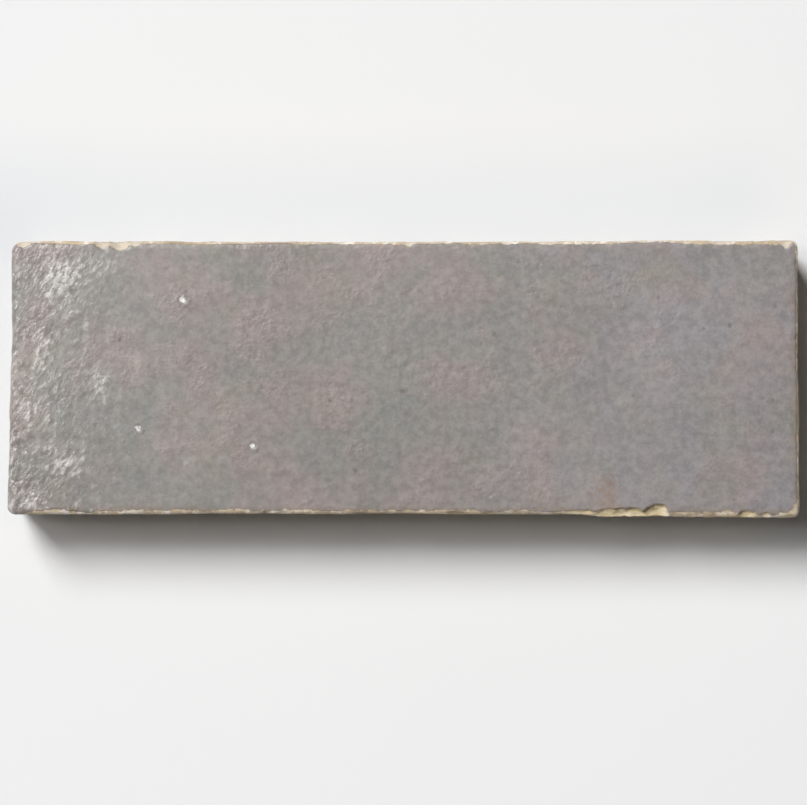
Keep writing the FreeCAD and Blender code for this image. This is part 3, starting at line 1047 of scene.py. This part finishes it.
@dataclass(frozen=True)
class GlazedClay:
    """The tile's material: glaze where it is thick, bare clay where it drew back or broke off."""

    glaze: GlazeFinish = GlazeFinish()
    clay: ClayFinish = ClayFinish()
    bursts: tuple[Triple, ...] = ()
    burst_height: float = 17.4
    iron_at: Triple = (37.8, -22.4, 17.1)
    iron_reach: float = 3.1
    iron_strays: float = 2.8
    iron_share: float = 0.27

    def make(self) -> bpy.types.Material:
        """Builds the material from the tile's point attributes and its own noise.

        Returns:
            The material.
        """
        bench = NodeBench("glazed_clay")
        ragged = bench.step(bench.noise(0.9, 5.0, 0.7), 0.22, 0.78, -0.42, 0.42)
        cover = bench.step(bench.plus(bench.read("glaze"), ragged), 0.36, 0.6)
        boiled = bench.read("boiled")
        pebbles = bench.noise(0.85, 3.0, 0.65, stretch=(1.8, 1.0, 1.0), turn=60.0)
        # painted glints on the pebble tops at the left end
        whiter = bench.plus(pebbles, bench.times(bench.read("painted_glare"), 0.14))
        much_boiled = bench.math("MULTIPLY", boiled, 1.5, clamp=True)
        painted_glints = bench.times(bench.step(whiter, 0.56, 0.72), much_boiled)
        # painted shade between the pebbles
        painted_valley_shade = bench.times(bench.step(pebbles, 0.5, 0.38, 0.0, 0.35), boiled)
        # a whitish painted glare over the left end
        glare_veil = bench.step(bench.noise(2.2, 3.0, 0.6), 0.3, 0.6, 0.15, 0.5)
        glare_veil = bench.times(bench.read("painted_glare"), glare_veil)
        colour = bench.mix(glare_veil, self.glaze.colour(bench), self.glaze.glare_veil)
        colour = bench.mix(painted_valley_shade, colour, self.glaze.dark)
        colour = bench.mix(bench.times(painted_glints, 0.72), colour, self.glaze.painted_glints)
        # painted highlights on the craters, and painted shade in their hollows
        glint, hollow = self.burst(bench)
        colour = bench.mix(bench.times(hollow, 0.4), colour, self.glaze.dark)
        colour = bench.mix(glint, colour, self.glaze.glint)
        colour = bench.mix(self.iron_mark(bench), colour, self.glaze.iron)
        colour = bench.mix(cover, self.clay.colour(bench), colour)
        gloss = bench.blend(boiled, self.glaze.roughness, self.glaze.boiled_roughness)
        rough = bench.blend(cover, self.clay.roughness, gloss)
        peel = bench.times(bench.noise(0.85, 2.0), self.glaze.peel_height * MM)
        pits = bench.times(self.glaze.specks(bench), self.glaze.pit_depth * MM)
        boil = bench.times(bench.times(pebbles, boiled), self.glaze.boil_height * MM)
        clusters = bench.step(bench.noise(7.0, 2.0), 0.48, 0.66, 0.0, self.glaze.cluster_height * MM)
        peel = bench.plus(peel, bench.times(bench.noise(0.7, 1.0), clusters))
        skin = bench.plus(bench.math("SUBTRACT", peel, pits), boil)
        skin = bench.plus(skin, self.glaze.thickness * MM)
        grit = bench.times(bench.noise(0.5, 3.0, 0.7), self.clay.grain_height * MM)
        height = bench.blend(cover, grit, skin)
        bump = bench.add("Bump", {"Height": height, "Strength": 1.0, "Distance": 1.0})
        shader = bench.add(
            "BsdfPrincipled",
            {"Base Color": colour, "Roughness": rough, "Normal": bump.outputs[0], "IOR": self.glaze.ior},
        )
        return bench.finish(shader)

    def burst(self, bench: NodeBench) -> tuple[Socket, Socket]:
        """Painted light on each burst bubble: a white painted highlight, and painted shade in the hollow
        round its lower right.

        Args:
            bench: the material being made.

        Returns:
            The mask sockets of the painted highlights and of the painted shade.
        """
        ragged = bench.step(bench.noise(0.8, 4.0, 0.65), 0.2, 0.8, -0.45, 0.45)
        glints, hollows = [], []
        # each crater: a painted highlight, and painted shade to its lower right
        for x, y, size in self.bursts:
            glints.append(self.round_spot(bench, (x - 0.15 * size, y + 0.1 * size), 0.8 * size, ragged))
            hollows.append(self.round_spot(bench, (x + 0.4 * size, y - 0.45 * size), 1.1 * size, ragged))
        return bench.strongest(glints), bench.strongest(hollows)

    def round_spot(
        self, bench: NodeBench, place: tuple[float, float], size: float, ragged: Socket
    ) -> Socket:
        """A soft spot on the face.

        Args:
            bench: the material being made.
            place: its x and y in millimetres.
            size: its radius in millimetres.
            ragged: how far its rim comes out, in radii.

        Returns:
            A mask socket.
        """
        spot = {0: bench.where, 1: (place[0] * MM, place[1] * MM, self.burst_height * MM)}
        away = bench.add("VectorMath", spot, operation="DISTANCE").outputs["Value"]
        share = bench.plus(bench.math("DIVIDE", away, size * MM), ragged)
        return bench.step(share, 1.0, 0.45)

    def iron_mark(self, bench: NodeBench) -> Socket:
        """An iron-brown stain in the glaze above the long chip, twice as long as it is broad.

        Args:
            bench: the material being made.

        Returns:
            A mask socket.
        """
        x, y, z = (-value * MM for value in self.iron_at)
        squeezed = {"Vector": bench.where, "Location": (x, y / 2, z), "Scale": (1.0, 0.5, 1.0)}
        away = bench.add("Mapping", squeezed).outputs[0]
        away = bench.add("VectorMath", {0: away}, operation="LENGTH").outputs["Value"]
        strays = self.iron_strays * MM
        ragged = bench.step(bench.noise(1.1, 4.0, 0.7), 0.2, 0.8, -strays, strays)
        spot = bench.step(bench.plus(away, ragged), self.iron_reach * MM, 0.0)
        return bench.times(spot, self.iron_share)


@dataclass(frozen=True)
class FloorFinish:
    """Pale matt paper, with painted shade round the tile's rear and ends that offsets the light the clay
    throws back.

    A fade is an axis, where the painted shade begins and where it is full.
    """

    white: Colour = srgb(239, 239, 239)
    # painted shade: the floor is darkened round the tile to offset light that the clay throws back
    painted_shade: Colour = srgb(223, 226, 230)
    cloudy: Colour = (0.8, 0.8, 0.8)
    fades: tuple[tuple[str, float, float], ...] = (
        ("Y", 50.0, 26.0),
        ("Y", -30.0, -18.0),
        ("X", -92.0, -73.0),
        ("X", 80.0, 60.0),
    )

    def make(self) -> bpy.types.Material:
        """Builds the floor's material, its tone barely uneven.

        Returns:
            The material.
        """
        bench = NodeBench("pale_floor")
        clouds = bench.step(bench.noise(60.0, 2.0), 0.3, 0.7, 0.0, 0.03)
        tone = bench.mix(clouds, self.white, self.cloudy)
        axes = bench.axes()
        # painted shade round the tile's rear and ends
        fades = [bench.step(axes[axis], out * MM, into * MM) for axis, out, into in self.fades]
        paper = {
            "Base Color": bench.mix(reduce(bench.times, fades), tone, self.painted_shade),
            "Roughness": 0.95,
            "Specular IOR Level": 0.0,
        }
        shader = bench.add("BsdfPrincipled", paper)
        return bench.finish(shader)


@dataclass
class Studio:
    """Floor, soft lamps and the camera that looks straight down.

    The floor's size is in metres. A lamp is its name, its place and size in metres, and its watts.
    """

    floor_size: float = 4.0
    lamps: tuple[tuple[str, Triple, tuple[float, float], float], ...] = (
        ("key_over_rear", (-2.2, 2.85, 5.0), (2.0, 3.2), 402.0),
        ("side_left", (-2.2, 0.4, 1.3), (1.2, 1.2), 5.5),
        ("glare_left", (-0.42, 0.1, 0.95), (0.12, 0.5), 1.2),
        ("fill_front", (0.2, -2.4, 1.6), (2.0, 1.0), 2.2),
    )
    sky: float = 0.035
    frame_width: float = 148.0
    camera_height: float = 1300.0
    camera_y: float = -4.3
    face_height: float = 17.5
    sensor: float = 36.0

    def lay_floor(self) -> None:
        """Lays the floor at the tile's back."""
        half = self.floor_size / 2
        mesh = bpy.data.meshes.new("floor")
        corners = [(-half, -half, 0), (half, -half, 0), (half, half, 0), (-half, half, 0)]
        mesh.from_pydata(corners, [], [(0, 1, 2, 3)])
        floor = bpy.data.objects.new("floor", mesh)
        bpy.context.scene.collection.objects.link(floor)
        mesh.materials.append(FloorFinish().make())

    def light(self) -> None:
        """Hangs the lamps, a broad one over the rear left and three faint ones, and a faint sky."""
        for name, place, size, power in self.lamps:
            lamp = bpy.data.lights.new(name, "AREA")
            lamp.shape = "RECTANGLE"
            lamp.size, lamp.size_y = size
            lamp.energy = power
            hung = bpy.data.objects.new(name, lamp)
            hung.location = place
            hung.rotation_euler = (-Vector(place)).to_track_quat("-Z", "Y").to_euler()
            bpy.context.scene.collection.objects.link(hung)
        world = bpy.data.worlds.new("studio")
        world.use_nodes = True
        world.node_tree.nodes["Background"].inputs[0].default_value = (1.0, 1.0, 1.0, 1.0)
        world.node_tree.nodes["Background"].inputs[1].default_value = self.sky
        bpy.context.scene.world = world

    def set_camera(self) -> None:
        """Hangs the camera over the tile, its frame a little wider than the tile."""
        lens = bpy.data.cameras.new("camera")
        lens.sensor_fit = "HORIZONTAL"
        lens.sensor_width = self.sensor
        lens.lens = self.sensor * (self.camera_height - self.face_height) / self.frame_width
        camera = bpy.data.objects.new("camera", lens)
        camera.location = (0.0, self.camera_y * MM, self.camera_height * MM)
        bpy.context.scene.collection.objects.link(camera)
        bpy.context.scene.camera = camera

    def set_up(self) -> None:
        """Lays the floor, hangs the lamps and the camera, and sets the plain view transform."""
        self.lay_floor()
        self.light()
        self.set_camera()
        bpy.context.scene.view_settings.view_transform = "Standard"


def main() -> None:
    """Builds the tile and the studio, and reports each piece."""
    logging.basicConfig(level=logging.INFO, format="%(name)s: %(message)s")
    plan = ClayTile()
    tile = plan.build()
    tile.data.materials.append(GlazedClay(bursts=plan.craters).make())
    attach(tile, "root")
    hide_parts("tile")
    LOG.info("%s: %d faces", tile.name, len(tile.data.polygons))
    Studio().set_up()
    LOG.info("studio: floor, lamps and camera")


if __name__ == "__main__":
    main()
